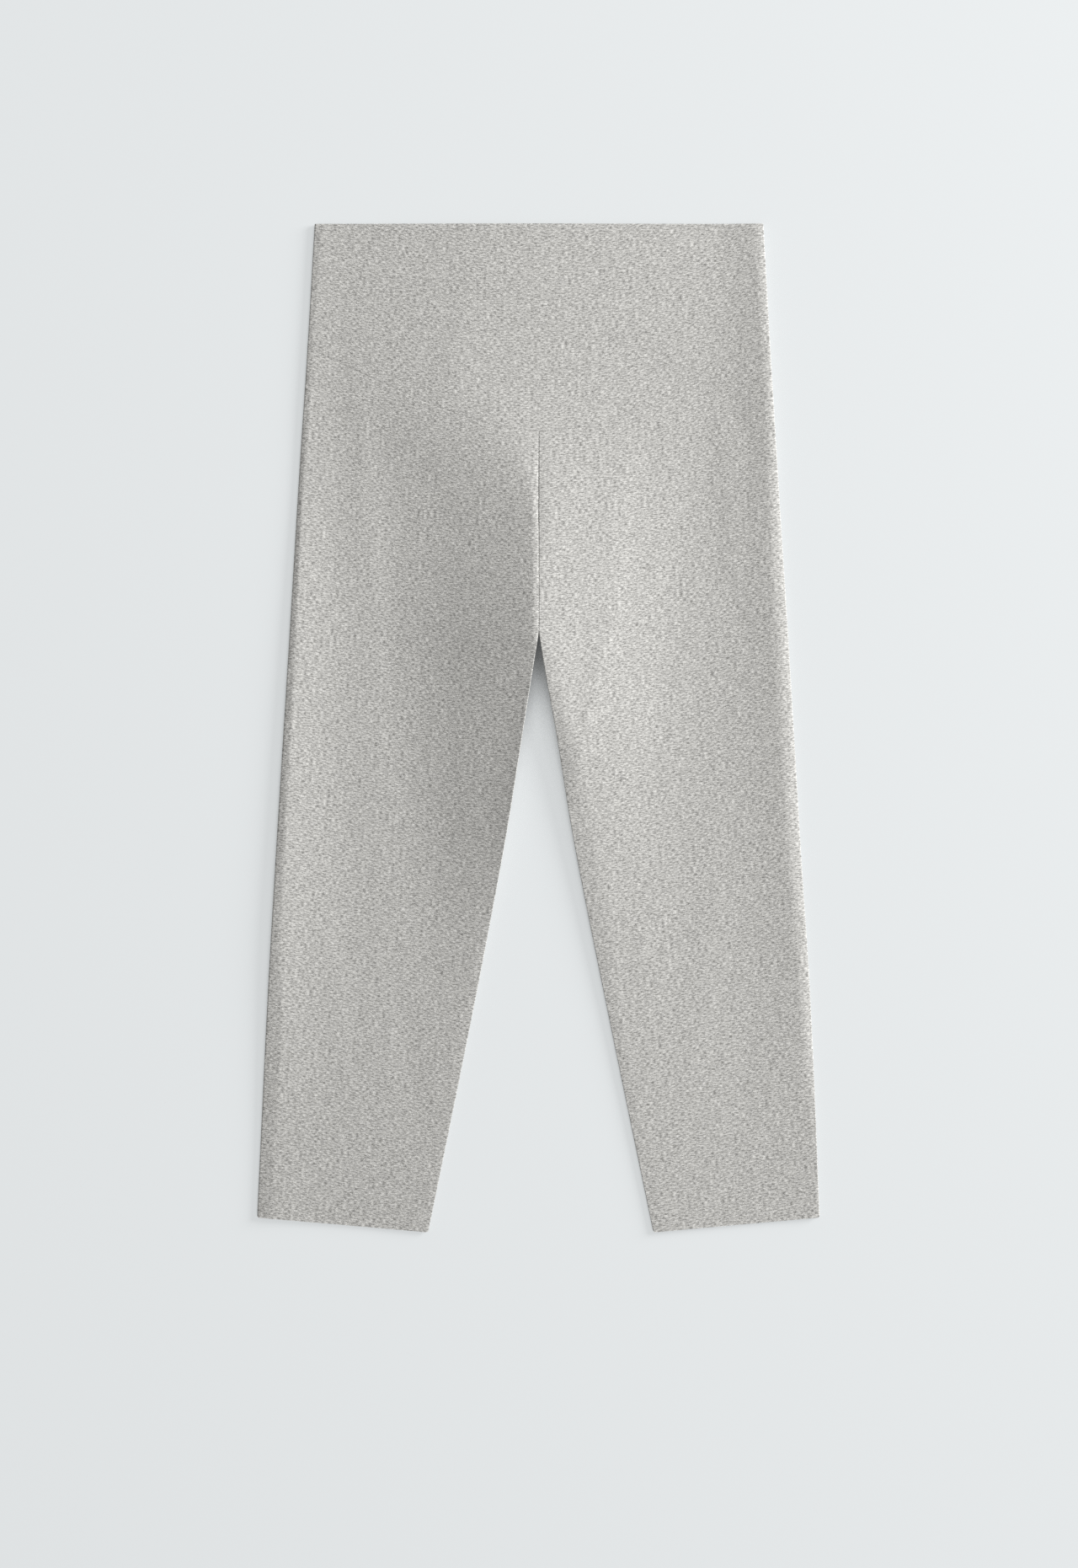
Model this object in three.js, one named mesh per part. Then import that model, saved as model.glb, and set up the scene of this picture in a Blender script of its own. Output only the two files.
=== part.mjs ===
// High-waisted cropped leggings in grey marl jersey, laid flat on a table with the front up.
// Four pieces are cut and joined. Each leg is one piece of cloth, folded at the outer side and
// joined to itself down the inseam, and to the other leg at the centre front and centre back.
// A deep waistband, of a front with a shallow V and a plain back, closes them at the top.
// Lengths are in millimetres. +Y runs towards the waist, +X to the right of someone who looks
// down on the garment, and +Z up off the table. The origin is on the table, under the middle.

import * as THREE from "three";

// Driving sizes
const LENGTH = 742; // waist edge to the lowest point of the hems
const RISE = 301; // waist edge to the crotch
const BAND_CENTRE = 153; // depth of the waistband at the centre front
const BAND_BACK = 118; // depth of the waistband at the centre back
const LEG_CLOTH = 1; // one layer of jersey
const BAND_CLOTH = 1.5; // two layers of jersey, bonded face to face
const SEAM_GAP = 0.3; // between edges that are joined
const CLOTH_COLOUR = 0xbdbcb8;

// How the front of the waistband runs: a V whose tip is rounded, and which lies a little askew.
const BAND_SLOPE = 0.5;
const BAND_TILT = 0.01;
const BAND_TIP = 30;

// How edges turn
const FOLD_CORNER = 1.8; // radius of the turn at the outer folds
const CORNER_DEPTH = 1.8; // from the top of a fold to where it reaches furthest out
const SEAM_CORNER = 1.3; // radius of the turn into the centre seams and inseams
const SEAM_TURN = 1.4; // how far the centre front edges turn down into their seam
const STEEP_WALL = 5; // keeps what is below a corner's radius close to upright
const SEAM_DIP = 0.5; // the waistband seam's groove
const SEAM_REACH = 2; // half the groove's width
const BACK_TURN = 1.6; // how high the centre back edges turn up inside
const BACK_ROLL = 2.5;
const CROTCH_NOSE = 18; // the stretch above the crotch where front and back come together
const UNDER_ROLL = 3; // the outer folds, on the side that lies on the table
const HEM_LIFT = 11; // how far the hems rise towards their outer corners
const HEM_CORNER = 2;

// Distance of the outer folds from the centre line, down from the waist edge.
const OUTER = [
  { down: 0, left: 165, right: 165.2 },
  { down: 95, left: 170.5, right: 170.5 },
  { down: 182, left: 176.3, right: 175.8 },
  { down: 306, left: 183.7, right: 183.7 },
  { down: 455, left: 192.9, right: 192.6 },
  { down: 580, left: 200.1, right: 200.5 },
  { down: 742, left: 208, right: 207.2 },
];

// Distance of the inseams from the centre line, down from the crotch.
const INNER = [
  { down: 301, left: 0, right: 0 },
  { down: 331, left: 4.9, right: 4.8 },
  { down: 372, left: 11.4, right: 12.3 },
  { down: 455, left: 24.8, right: 25.9 },
  { down: 579, left: 48.3, right: 50.6 },
  { down: 742, left: 81.4, right: 84.3 },
];

// How the front lies. rest is its height where it lies on the back, and crest the rise of the
// soft ridge that runs down from the left of the waist to the crotch and on along both inseams.
// reach is how far the ridge spreads to each side.
const LAY = [
  { down: 0, rest: 3.9, leftCrest: 2.5, rightCrest: 2.5, leftReach: 140, rightReach: 140 },
  { down: 60, rest: 3.9, leftCrest: 2.2, rightCrest: 2.2, leftReach: 110, rightReach: 140 },
  { down: 114, rest: 3.8, leftCrest: 3.4, rightCrest: 3.4, leftReach: 100, rightReach: 140 },
  { down: 145, rest: 3.6, leftCrest: 5.2, rightCrest: 5.2, leftReach: 115, rightReach: 135 },
  { down: 182, rest: 3.1, leftCrest: 8, rightCrest: 8, leftReach: 118, rightReach: 132 },
  { down: 220, rest: 2.6, leftCrest: 11.7, rightCrest: 11.4, leftReach: 119, rightReach: 132 },
  { down: 270, rest: 2.4, leftCrest: 15.2, rightCrest: 14.3, leftReach: 123, rightReach: 131 },
  { down: 301, rest: 2.4, leftCrest: 16, rightCrest: 15.1, leftReach: 124, rightReach: 129 },
  { down: 320, rest: 2.4, leftCrest: 14.8, rightCrest: 15.3, leftReach: 114, rightReach: 123 },
  { down: 370, rest: 2.4, leftCrest: 12, rightCrest: 13.4, leftReach: 102, rightReach: 110 },
  { down: 420, rest: 2.4, leftCrest: 10.4, rightCrest: 9, leftReach: 88, rightReach: 98 },
  { down: 470, rest: 2.4, leftCrest: 6.8, rightCrest: 6, leftReach: 74, rightReach: 90 },
  { down: 520, rest: 2.4, leftCrest: 3.4, rightCrest: 4.2, leftReach: 58, rightReach: 88 },
  { down: 580, rest: 2.4, leftCrest: 1.6, rightCrest: 2.6, leftReach: 52, rightReach: 86 },
  { down: 660, rest: 2.4, leftCrest: 0.8, rightCrest: 1.4, leftReach: 48, rightReach: 76 },
  { down: 742, rest: 2.4, leftCrest: 0.5, rightCrest: 0.6, leftReach: 44, rightReach: 60 },
];

// Where the ridge runs above the crotch, and how broad its top is.
const RIDGE = [
  { down: 0, at: -14, round: 40 },
  { down: 60, at: -40, round: 40 },
  { down: 114, at: -48, round: 34 },
  { down: 153, at: -26, round: 22 },
  { down: 190, at: -6, round: 8 },
  { down: 222, at: 0, round: 1 },
  { down: 226, at: 0, round: 1 },
  { down: 301, at: 0, round: 0 },
];

// The rise of the cloth towards each outer fold, and how far in from the fold it starts.
const FOLDS = [
  { down: 0, leftFold: 0.6, rightFold: 2.4, leftSpread: 40, rightSpread: 50 },
  { down: 100, leftFold: 0.9, rightFold: 3.4, leftSpread: 40, rightSpread: 56 },
  { down: 182, leftFold: 1.5, rightFold: 3.9, leftSpread: 44, rightSpread: 66 },
  { down: 225, leftFold: 2.7, rightFold: 3.9, leftSpread: 42, rightSpread: 70 },
  { down: 320, leftFold: 4.6, rightFold: 3.9, leftSpread: 58, rightSpread: 72 },
  { down: 420, leftFold: 5.4, rightFold: 3.4, leftSpread: 66, rightSpread: 72 },
  { down: 520, leftFold: 5.8, rightFold: 2.6, leftSpread: 78, rightSpread: 68 },
  { down: 600, leftFold: 4.4, rightFold: 1.8, leftSpread: 78, rightSpread: 62 },
  { down: 660, leftFold: 2.8, rightFold: 1.2, leftSpread: 78, rightSpread: 60 },
  { down: 742, leftFold: 2, rightFold: 0.8, leftSpread: 80, rightSpread: 60 },
];
const FOLD_SHAPE = 1.3;

// The soft slope beside each outer fold: how far it drops at the edge, and how wide it is.
const FOLD_SHOULDERS = [
  { down: 0, leftDrop: 0.6, rightDrop: 1.1, leftWide: 5.5, rightWide: 9 },
  { down: 95, leftDrop: 0.5, rightDrop: 0.9, leftWide: 4.2, rightWide: 6.5 },
  { down: 160, leftDrop: 0.8, rightDrop: 1.2, leftWide: 3.6, rightWide: 8 },
  { down: 225, leftDrop: 1.2, rightDrop: 2.1, leftWide: 3.6, rightWide: 11 },
  { down: 306, leftDrop: 1.45, rightDrop: 2.2, leftWide: 5, rightWide: 11.5 },
  { down: 455, leftDrop: 1.45, rightDrop: 2.2, leftWide: 6, rightWide: 12 },
  { down: 520, leftDrop: 1.25, rightDrop: 1.7, leftWide: 7, rightWide: 10.5 },
  { down: 600, leftDrop: 1.6, rightDrop: 1.5, leftWide: 11.5, rightWide: 9 },
  { down: 660, leftDrop: 1.3, rightDrop: 0.2, leftWide: 11, rightWide: 8 },
  { down: 742, leftDrop: 1.1, rightDrop: 0.1, leftWide: 10, rightWide: 8 },
];

// The same beside the centre front seam and, past the crotch, the inseams. A drop below zero is
// a rise: the left leg stands up a little towards its inseam there.
const SEAM_SHOULDERS = [
  { down: 0, leftDrop: 0, rightDrop: 0, leftWide: 5, rightWide: 5 },
  { down: 145, leftDrop: 0, rightDrop: 0, leftWide: 5, rightWide: 5 },
  { down: 182, leftDrop: 0.7, rightDrop: 0.4, leftWide: 5, rightWide: 9 },
  { down: 225, leftDrop: 1, rightDrop: 0.5, leftWide: 5.5, rightWide: 9 },
  { down: 270, leftDrop: 1.2, rightDrop: 0.3, leftWide: 5.5, rightWide: 9 },
  { down: 301, leftDrop: 1.2, rightDrop: 0.3, leftWide: 5.5, rightWide: 9 },
  { down: 314, leftDrop: 0.2, rightDrop: 0.5, leftWide: 5, rightWide: 9 },
  { down: 326, leftDrop: 0, rightDrop: 0.7, leftWide: 12, rightWide: 9.5 },
  { down: 338, leftDrop: -0.3, rightDrop: 0.9, leftWide: 22, rightWide: 10 },
  { down: 364, leftDrop: -0.7, rightDrop: 1.5, leftWide: 24, rightWide: 11 },
  { down: 396, leftDrop: -0.9, rightDrop: 1.9, leftWide: 24, rightWide: 13 },
  { down: 430, leftDrop: -0.8, rightDrop: 1.7, leftWide: 24, rightWide: 16 },
  { down: 460, leftDrop: -0.4, rightDrop: 1.3, leftWide: 22, rightWide: 16 },
  { down: 490, leftDrop: 0, rightDrop: 1.1, leftWide: 12, rightWide: 14 },
  { down: 520, leftDrop: 0.35, rightDrop: 0.9, leftWide: 6, rightWide: 12 },
  { down: 580, leftDrop: 0.2, rightDrop: 0.55, leftWide: 6, rightWide: 9 },
  { down: 742, leftDrop: 0.15, rightDrop: 0.1, leftWide: 6, rightWide: 8 },
];

// The two sides, as they show from above. The bends say how a shoulder curves: 1 is straight.
const LEFT = { name: "left", sign: -1, foldBend: 1.05, seamBend: 2 };
const RIGHT = { name: "right", sign: 1, foldBend: 2, seamBend: 1.5 };

// Small helpers

function clamp(value, low, high) {
  return Math.min(high, Math.max(low, value));
}

function mix(a, b, share) {
  return a + (b - a) * share;
}

// One column of a table at a distance down, on a smooth curve through the rows.
function read(table, column, down) {
  const found = table.findLastIndex((row) => row.down <= down);
  const i = clamp(found, 0, table.length - 2);
  const a = table[i];
  const b = table[i + 1];
  const before = table[i - 1] ?? a;
  const after = table[i + 2] ?? b;
  const span = b.down - a.down;
  const slopeA = ((b[column] - before[column]) / (b.down - before.down)) * span;
  const slopeB = ((after[column] - a[column]) / (after.down - a.down)) * span;
  const t = clamp((down - a.down) / span, 0, 1);
  return (
    a[column] * (1 + 2 * t) * (1 - t) ** 2 +
    slopeA * t * (1 - t) ** 2 +
    b[column] * t * t * (3 - 2 * t) +
    slopeB * t * t * (t - 1)
  );
}

// The outline and the seams

function outer(side, down) {
  return read(OUTER, side.name, down);
}

function inner(side, down) {
  return down <= RISE ? 0 : read(INNER, side.name, down);
}

function frontSeam(x) {
  return BAND_CENTRE + BAND_TIP - Math.hypot(BAND_TIP, BAND_SLOPE * x) + BAND_TILT * x;
}

function backSeam(x) {
  const halfWidth = outer(LEFT, OUTER[1].down);
  const share = clamp(Math.abs(x) / halfWidth, 0, 1);
  return mix(BAND_BACK, frontSeam(Math.sign(x) * halfWidth), share * share);
}

// The hem rises towards the outer fold, and its two corners are rounded.
function hem(side, x, down) {
  const low = inner(side, LENGTH);
  const high = outer(side, LENGTH);
  const across = clamp((Math.abs(x) - low) / (high - low), 0, 1);
  const toEdge = Math.min(outer(side, down) - Math.abs(x), Math.abs(x) - inner(side, down));
  const short = 1 - clamp(toEdge / HEM_CORNER, 0, 1);
  const corner = HEM_CORNER * (1 - Math.sqrt(1 - short * short));
  return LENGTH - HEM_LIFT * across - corner;
}

// The height of the front's outer face

// The ridge falls away evenly for half its reach, then eases to nothing.
function ridgeShape(share) {
  if (share >= 1) return 0;
  return share < 0.5 ? 1 - (4 / 3) * share : (4 / 3) * (1 - share) ** 2;
}

function foldShape(share) {
  return (1 - clamp(share, 0, 1) ** FOLD_SHAPE) ** 3;
}

function shoulder(table, side, down, distance, bend) {
  const share = 1 - clamp(distance / read(table, side.name + "Wide", down), 0, 1);
  return read(table, side.name + "Drop", down) * share ** bend;
}

function frontHeight(x, down) {
  const side = x < 0 ? LEFT : RIGHT;
  const fromRidge = down < RISE ? x - read(RIDGE, "at", down) : x - side.sign * inner(side, down);
  const ridgeSide = fromRidge < 0 ? "left" : "right";
  const round = read(RIDGE, "round", down);
  const away = Math.hypot(fromRidge, round) - round;
  const reach = read(LAY, ridgeSide + "Reach", down);
  const crest = read(LAY, ridgeSide + "Crest", down) * ridgeShape(away / reach);
  const toFold = outer(side, down) - Math.abs(x);
  const toSeam = Math.abs(x) - inner(side, down);
  const rise = foldShape((toFold - FOLD_CORNER) / read(FOLDS, side.name + "Spread", down));
  const fold = read(FOLDS, side.name + "Fold", down) * rise;
  const foldDrop = shoulder(FOLD_SHOULDERS, side, down, toFold, side.foldBend);
  const seamDrop = shoulder(SEAM_SHOULDERS, side, down, toSeam, side.seamBend);
  const dip = SEAM_DIP * Math.exp(-(((down - frontSeam(x)) / SEAM_REACH) ** 2));
  return read(LAY, "rest", down) + crest + fold - foldDrop - seamDrop - dip;
}

// Points of the cloth's section at a distance down. depth is 0 on the outer face of the cloth
// and the cloth's thickness on its inner face, and turn runs from 0 to 1 round a rounded edge.

// A fold reaches furthest out just under its top, or halfway up where it is thin.
function widest(side, down) {
  const top = frontHeight(side.sign * outer(side, down), down);
  return Math.max(top - CORNER_DEPTH, top / 2);
}

// How far a corner has come down at an angle: a quarter circle, then a steep wall.
function roundOff(angle, radius, drop) {
  const left = 1 - Math.sin(angle);
  const size = Math.min(radius, drop);
  return size * left + (drop - size) * left ** STEEP_WALL;
}

function foldOver(side, down, turn, depth, lift = 0) {
  const angle = (turn * Math.PI) / 2;
  const edge = outer(side, down) - depth;
  const roll = FOLD_CORNER - depth;
  const x = side.sign * (edge - roll * (1 - Math.cos(angle)));
  const drop = frontHeight(side.sign * edge, down) - depth - widest(side, down) - lift;
  return { x, z: frontHeight(x, down) - depth - roundOff(angle, roll, drop) };
}

function foldUnder(side, down, turn, depth, lift = 0) {
  const angle = (turn * Math.PI) / 2;
  const roll = UNDER_ROLL - depth;
  const x = side.sign * (outer(side, down) - depth - roll * (1 - Math.cos(angle)));
  return { x, z: mix(depth, widest(side, down) - lift, 1 - Math.sin(angle)) };
}

// How far the two edges at a centre seam have come together: 1 where they are well apart.
function apart(down) {
  const near = 1 - clamp((RISE - down) / CROTCH_NOSE, 0, 1);
  return Math.sqrt(1 - near * near);
}

function seamTop(side, down) {
  return frontHeight(side.sign * (inner(side, down) + SEAM_GAP / 2), down);
}

function seamTurn(side, down, turn, depth) {
  const angle = (turn * Math.PI) / 2;
  const edge = inner(side, down) + SEAM_GAP / 2 + depth;
  const roll = SEAM_CORNER - depth;
  const x = side.sign * (edge + roll * (1 - Math.cos(angle)));
  const top = seamTop(side, down);
  const end = mix(top / 2 + SEAM_GAP / 2, top - SEAM_TURN, apart(down));
  const drop = frontHeight(side.sign * edge, down) - depth - end;
  return { x, z: frontHeight(x, down) - depth - roundOff(angle, roll, drop) };
}

function seamTurnUnder(side, down, turn, depth) {
  const angle = (turn * Math.PI) / 2;
  const edge = inner(side, down) + SEAM_GAP / 2 + depth;
  const x = side.sign * (edge + (BACK_ROLL - depth) * (1 - Math.cos(angle)));
  const end = mix(seamTop(side, down) / 2 - SEAM_GAP / 2, BACK_TURN, apart(down));
  return { x, z: mix(depth, end, 1 - Math.sin(angle)) };
}

// A wall of cloth is made from columns, which run down the garment side by side. Each column is
// a layer and a function that gives its place in the section.

function columns(layer, count, place, skipFirst = false) {
  const made = [];
  for (let i = skipFirst ? 1 : 0; i < count; i++) {
    const t = i / (count - 1);
    made.push({ layer, at: (down, depth) => place(t, down, depth) });
  }
  return made;
}

// Steps across a panel are closer near its two edges, where the cloth turns.
function eased(t) {
  return mix(t, (1 - Math.cos(Math.PI * t)) / 2, EDGE_CROWDING);
}

// The distance down at which a column meets a seam or a hem.
function meet(column, edge, guess) {
  let down = guess;
  for (let i = 0; i < 8; i++) down = edge(column.at(down, 0).x, down);
  return down;
}

// The closed mesh of a wall: rings of its outer and inner faces, one for each row, and a strip
// of cut edge at each end. flip turns the faces of a piece whose columns run the other way.
function wall(cols, starts, ends, rows, cloth, flip) {
  const ring = cols.length * 2;
  const positions = [];
  for (const row of rows) {
    for (const depth of [0, cloth]) {
      cols.forEach((column, k) => {
        const down = mix(starts[k], ends[k], row);
        const { x, z } = column.at(down, depth);
        positions.push(x, LENGTH / 2 - down, z);
      });
    }
  }
  const faces = [];
  const quad = (a, b, c, d) => faces.push(...(flip ? [a, c, b, a, d, c] : [a, b, c, a, c, d]));
  const around = (k) => (k < cols.length ? k : 3 * cols.length - 1 - k);
  for (let row = 0; row + 1 < rows.length; row++) {
    for (let k = 0; k < ring; k++) {
      const here = around(k);
      const next = around((k + 1) % ring);
      const low = row * ring;
      const high = low + ring;
      quad(low + here, high + here, high + next, low + next);
    }
  }
  const last = (rows.length - 1) * ring;
  for (let k = 0; k + 1 < cols.length; k++) {
    quad(k, k + 1, cols.length + k + 1, cols.length + k);
    quad(last + k + 1, last + k, last + cols.length + k, last + cols.length + k + 1);
  }
  const geometry = new THREE.BufferGeometry();
  geometry.setAttribute("position", new THREE.Float32BufferAttribute(positions, 3));
  geometry.setIndex(faces);
  geometry.computeVertexNormals();
  return geometry;
}

function range(from, to, count) {
  return Array.from({ length: count }, (_, i) => mix(from, to, i / (count - 1)));
}

function jersey() {
  return new THREE.MeshStandardMaterial({ color: CLOTH_COLOUR, roughness: 0.95, metalness: 0 });
}

function piece(name, geometry) {
  const mesh = new THREE.Mesh(geometry, jersey());
  mesh.name = name;
  return mesh;
}

// The pieces

const FRONT_COLUMNS = 22;
const BACK_COLUMNS = 8;
const ROLL_COLUMNS = 4;
const EDGE_CROWDING = 0.8; // how much closer the columns are beside the edges

// A leg's section starts at the centre front or inseam, crosses the front, goes round the outer
// fold and comes back under it.
function leg(side) {
  const frontEnds = (down, depth) => [
    seamTurn(side, down, 1, depth).x,
    foldOver(side, down, 1, depth).x,
  ];
  const front = (t, down, depth) => {
    const [from, to] = frontEnds(down, depth);
    const x = mix(from, to, eased(t));
    return { x, z: frontHeight(x, down) - depth };
  };
  const back = (t, down, depth) => {
    const from = foldUnder(side, down, 1, depth).x;
    const to = seamTurnUnder(side, down, 1, depth).x;
    return { x: mix(from, to, t), z: depth };
  };
  const cols = [
    ...columns("front", ROLL_COLUMNS, (t, down, depth) => seamTurn(side, down, t, depth)),
    ...columns("front", FRONT_COLUMNS, front, true),
    ...columns("front", ROLL_COLUMNS + 1, (t, down, depth) => foldOver(side, down, 1 - t, depth), true),
    ...columns("back", ROLL_COLUMNS, (t, down, depth) => foldUnder(side, down, t, depth), true),
    ...columns("back", BACK_COLUMNS, back, true),
    ...columns("back", ROLL_COLUMNS, (t, down, depth) => seamTurnUnder(side, down, 1 - t, depth), true),
  ];
  const seam = { front: frontSeam, back: backSeam };
  const starts = cols.map((c) => meet(c, (x) => seam[c.layer](x) + SEAM_GAP / 2, BAND_CENTRE));
  const ends = cols.map((c) => meet(c, (x, down) => hem(side, x, down), LENGTH));
  const rows = [
    0,
    0.0035,
    0.008,
    ...range(0.025, 0.2, 6),
    ...range(0.218, 0.322, 8),
    ...range(0.35, 0.985, 16),
    1,
  ];
  return piece(`leg_${side.name}`, wall(cols, starts, ends, rows, LEG_CLOTH, side === LEFT));
}

const BAND_ROWS = [0, ...range(0.12, 0.94, 6), 0.984, 1];

function waistbandFront() {
  const lift = SEAM_GAP / 2;
  const front = (t, down, depth) => {
    const from = foldOver(LEFT, down, 1, depth).x;
    const to = foldOver(RIGHT, down, 1, depth).x;
    const x = mix(from, to, eased(t));
    return { x, z: frontHeight(x, down) - depth };
  };
  const rightFold = (t, down, depth) => foldOver(RIGHT, down, 1 - t, depth, lift);
  const cols = [
    ...columns("front", ROLL_COLUMNS + 1, (t, down, depth) => foldOver(LEFT, down, t, depth, lift)),
    ...columns("front", 2 * FRONT_COLUMNS - 3, front, true),
    ...columns("front", ROLL_COLUMNS + 1, rightFold, true),
  ];
  const starts = cols.map(() => 0);
  const ends = cols.map((c) => meet(c, (x) => frontSeam(x) - SEAM_GAP / 2, BAND_CENTRE));
  return piece("waistband_front", wall(cols, starts, ends, BAND_ROWS, BAND_CLOTH, false));
}

function waistbandBack() {
  const lift = SEAM_GAP / 2;
  const back = (t, down, depth) => {
    const from = foldUnder(RIGHT, down, 1, depth).x;
    const to = foldUnder(LEFT, down, 1, depth).x;
    return { x: mix(from, to, t), z: depth };
  };
  const cols = [
    ...columns("back", ROLL_COLUMNS, (t, down, depth) => foldUnder(RIGHT, down, t, depth, lift)),
    ...columns("back", 2 * BACK_COLUMNS - 1, back, true),
    ...columns("back", ROLL_COLUMNS, (t, down, depth) => foldUnder(LEFT, down, 1 - t, depth, lift), true),
  ];
  const starts = cols.map(() => 0);
  const ends = cols.map((c) => meet(c, (x) => backSeam(x) - SEAM_GAP / 2, BAND_BACK));
  return piece("waistband_back", wall(cols, starts, ends, BAND_ROWS, BAND_CLOTH, false));
}

const leggings = new THREE.Group();
leggings.add(waistbandFront(), waistbandBack(), leg(LEFT), leg(RIGHT));

export default leggings;
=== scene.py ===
# %% [markdown]
# # Leggings laid flat
# These are cropped, high-waisted leggings in grey marl jersey. They lie on a table with the front
# up, and the camera looks straight down on them. The whole look comes from three things: a very
# even speckled cloth, a low light from the right, and the few millimetres by which the cloth
# stands off the table. So this lesson spends its effort on a smooth, exact surface and on the
# knit, and very little on folds, because there are hardly any.

# %% Load the frame
import math

import bpy
import numpy as np
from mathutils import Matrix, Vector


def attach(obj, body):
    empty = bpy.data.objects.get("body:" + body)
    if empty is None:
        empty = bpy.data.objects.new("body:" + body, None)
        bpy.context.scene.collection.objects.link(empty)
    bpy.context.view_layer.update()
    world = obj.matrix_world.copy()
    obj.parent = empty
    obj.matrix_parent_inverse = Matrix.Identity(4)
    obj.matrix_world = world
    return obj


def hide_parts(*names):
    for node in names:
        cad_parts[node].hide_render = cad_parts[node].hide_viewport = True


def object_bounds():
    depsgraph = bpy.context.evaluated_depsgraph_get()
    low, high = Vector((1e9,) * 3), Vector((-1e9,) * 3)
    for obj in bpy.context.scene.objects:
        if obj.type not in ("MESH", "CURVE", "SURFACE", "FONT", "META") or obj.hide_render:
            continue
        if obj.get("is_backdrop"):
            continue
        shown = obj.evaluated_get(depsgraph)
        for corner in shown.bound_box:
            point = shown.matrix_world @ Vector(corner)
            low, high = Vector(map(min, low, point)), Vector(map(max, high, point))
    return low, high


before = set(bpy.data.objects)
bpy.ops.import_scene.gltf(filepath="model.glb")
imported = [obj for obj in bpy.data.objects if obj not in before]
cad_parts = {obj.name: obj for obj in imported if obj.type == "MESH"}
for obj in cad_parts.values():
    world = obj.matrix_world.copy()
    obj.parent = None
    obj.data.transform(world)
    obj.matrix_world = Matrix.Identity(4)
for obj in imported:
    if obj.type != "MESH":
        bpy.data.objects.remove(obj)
solid_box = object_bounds()
print("box of the solids", solid_box)

MM = 0.001
LENGTH = 742.0
RISE = 301.0
BAND_CENTRE = 153.0
BAND_BACK = 118.0
LEG_CLOTH = 0.5
BAND_CLOTH = 0.8
SEAM_GAP = 0.09

# %% [markdown]
# ## How the garment lies
# A real pair is cut from four pieces: one for each leg, folded at the outer side, and a front and
# a back waistband. Sewn and laid down, its form is easier to describe than its cut, so the form is
# given here as short tables. Each row stands for a line across the garment, at so many
# millimetres down from the waist edge, and everything between the rows lies on smooth curves.
# A cloth simulation could also drop the garment on a table, but it would wrinkle at random, and
# this cloth is pressed and calm.

# %% Outline
OUTER = [
    {"down": 0, "left": 165, "right": 165.2},
    {"down": 95, "left": 170.5, "right": 170.5},
    {"down": 182, "left": 176.3, "right": 175.8},
    {"down": 306, "left": 183.7, "right": 183.7},
    {"down": 455, "left": 192.9, "right": 192.6},
    {"down": 580, "left": 200.1, "right": 200.5},
    {"down": 742, "left": 208, "right": 207.2},
]
INNER = [
    {"down": 301, "left": 0, "right": 0},
    {"down": 331, "left": 4.9, "right": 4.8},
    {"down": 372, "left": 11.4, "right": 12.3},
    {"down": 455, "left": 24.8, "right": 25.9},
    {"down": 579, "left": 48.3, "right": 50.6},
    {"down": 742, "left": 81.4, "right": 84.3},
]


def curve(table, column, down):
    """Reads a column at many distances down, on a smooth curve through the rows."""
    rows = np.array([row["down"] for row in table], dtype=float)
    values = np.array([row[column] for row in table], dtype=float)
    down = np.asarray(down, dtype=float)
    i = np.clip(np.searchsorted(rows, down, side="right") - 1, 0, len(rows) - 2)
    before, after = np.maximum(i - 1, 0), np.minimum(i + 2, len(rows) - 1)
    span = rows[i + 1] - rows[i]
    slope_a = (values[i + 1] - values[before]) / (rows[i + 1] - rows[before]) * span
    slope_b = (values[after] - values[i]) / (rows[after] - rows[i]) * span
    t = np.clip((down - rows[i]) / span, 0, 1)
    return (
        values[i] * (1 + 2 * t) * (1 - t) ** 2
        + slope_a * t * (1 - t) ** 2
        + values[i + 1] * t * t * (3 - 2 * t)
        + slope_b * t * t * (t - 1)
    )


def outer_edge(side, down):
    return curve(OUTER, side, down)


def inner_edge(side, down):
    return np.where(down <= RISE, 0.0, curve(INNER, side, down))


for down in (0.0, RISE, LENGTH):
    width = float(outer_edge("left", down) + outer_edge("right", down))
    print("at", down, "mm the garment is", round(width), "mm wide")

# %% [markdown]
# ## The seams' lines
# The front waistband ends in a wide V with a rounded tip. The square root of a sum of squares
# gives just that line: far from the middle it runs straight, and near it the tip is round. The
# back waistband is plain, so its lower edge is a shallow arc that meets the front's at the sides.
# The band lies a hair askew, which a small tilt gives. The hems are straight and rise towards the
# outer folds, and their corners are nearly sharp. All four lines could be drawn as curves and
# projected on the cloth, but a formula is exact on every column of the mesh.

# %% Seam lines and hems
BAND_SLOPE = 0.5
BAND_TILT = 0.01
BAND_TIP = 30.0
HEM_LIFT = 11.0
HEM_CORNER = 2.0


def front_seam(x):
    """Where the front band ends, in millimetres down from the waist edge."""
    return BAND_CENTRE + BAND_TIP - np.hypot(BAND_TIP, BAND_SLOPE * x) + BAND_TILT * x


def back_seam(x):
    half_width = OUTER[1]["left"]
    share = np.clip(np.abs(x) / half_width, 0, 1)
    return BAND_BACK + (front_seam(np.copysign(half_width, x)) - BAND_BACK) * share**2


def hem_line(side, x, down):
    low, high = inner_edge(side, LENGTH), outer_edge(side, LENGTH)
    across = np.clip((np.abs(x) - low) / (high - low), 0, 1)
    to_edge = np.minimum(outer_edge(side, down) - np.abs(x), np.abs(x) - inner_edge(side, down))
    short = 1 - np.clip(to_edge / HEM_CORNER, 0, 1)
    corner = HEM_CORNER * (1 - np.sqrt(1 - short**2))
    return LENGTH - HEM_LIFT * across - corner


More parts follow.
